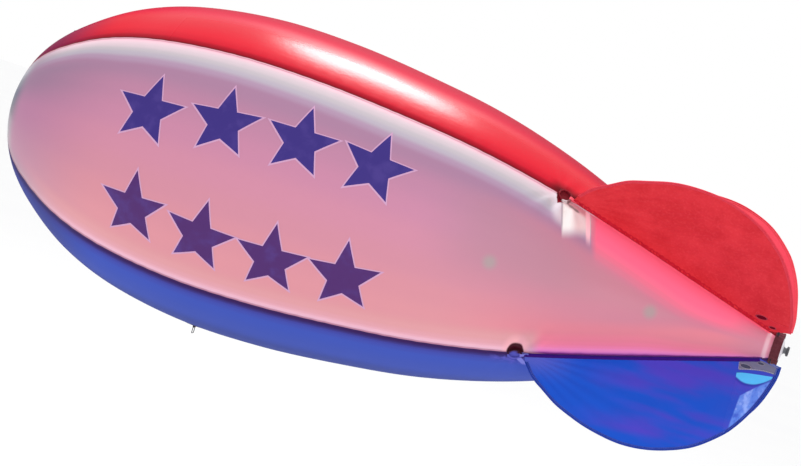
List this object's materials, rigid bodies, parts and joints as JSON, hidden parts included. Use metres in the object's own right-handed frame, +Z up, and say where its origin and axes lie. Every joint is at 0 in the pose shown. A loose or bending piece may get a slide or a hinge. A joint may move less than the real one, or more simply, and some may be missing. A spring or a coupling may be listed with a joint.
{
  "type": "advertising blimp balloon",
  "caption": "Helium advertising blimp balloon: a tapered hull of coloured gores, tied-on tail fins, tail valve and swinging mooring rings.",
  "frame": {"origin": "on the hull's axis, half way along the hull, where the air holds the balloon up (mount air_float)", "axes": "+X from the nose to the tail along the hull's axis, +Z up through the red gore, -Y to port, the side the picture shows"},
  "size_m": [6.1962, 2.4226, 2.4866],
  "materials": {
    "red_film": "glossy inflated film",
    "white_film": "satin translucent film",
    "blue_film": "satin inflated film",
    "seam_tape": "heat-sealed film tape",
    "grey_film": "clouded film",
    "red_fin": "thin woven film",
    "blue_fin": "thin woven film",
    "pale_webbing": "woven webbing",
    "dark_webbing": "woven webbing and cord",
    "valve_plastic": "moulded",
    "steel": "satin"
  },
  "bodies": {
    "hull": {"gore_top": "red_film", "gore_port": "white_film", "gore_starboard": "white_film", "gore_belly": "blue_film", "seam_top_port": "seam_tape", "seam_top_starboard": "seam_tape", "seam_belly_port": "seam_tape", "seam_belly_starboard": "seam_tape", "nose_patch": "white_film", "tail_collar": "dark_webbing", "tail_cap": "grey_film", "filling_valve": "valve_plastic", "valve_cap": "valve_plastic", "fin_top_port": "red_fin", "fin_top_starboard": "red_fin", "fin_belly_port": "blue_fin", "fin_belly_starboard": "blue_fin", "fin_hem_top_port": "red_fin", "fin_hem_top_starboard": "red_fin", "fin_hem_belly_port": "blue_fin", "fin_hem_belly_starboard": "blue_fin", "fin_anchor_top_port": "pale_webbing", "fin_anchor_top_starboard": "pale_webbing", "fin_anchor_belly_port": "pale_webbing", "fin_anchor_belly_starboard": "pale_webbing", "fin_loop_top_port": "dark_webbing", "fin_loop_top_starboard": "dark_webbing", "fin_loop_belly_port": "dark_webbing", "fin_loop_belly_starboard": "dark_webbing", "fin_strap_top_port": "pale_webbing", "fin_strap_top_starboard": "pale_webbing", "fin_strap_belly_port": "pale_webbing", "fin_strap_belly_starboard": "pale_webbing", "rear_tie_top_port": "dark_webbing", "rear_tie_top_starboard": "dark_webbing", "rear_tie_belly_port": "dark_webbing", "rear_tie_belly_starboard": "dark_webbing", "mooring_patch_nose": "dark_webbing", "mooring_patch_belly": "dark_webbing", "mooring_keeper_nose": "pale_webbing", "mooring_keeper_belly": "pale_webbing"},
    "ring_nose": {"mooring_ring_nose": "steel"},
    "ring_belly": {"mooring_ring_belly": "steel"}
  },
  "joints": [
    {"name": "nose_ring_swing", "type": "hinge", "parent": "hull", "child": "ring_nose", "pos_m": [-2.78006, 0, 0.64603], "axis": [0, 1, 0], "range_deg": [0, 175]},
    {"name": "belly_ring_swing", "type": "hinge", "parent": "hull", "child": "ring_belly", "pos_m": [-1.17797, 0, -1.22228], "axis": [0, 1, 0], "range_deg": [-82, 87]}
  ]
}
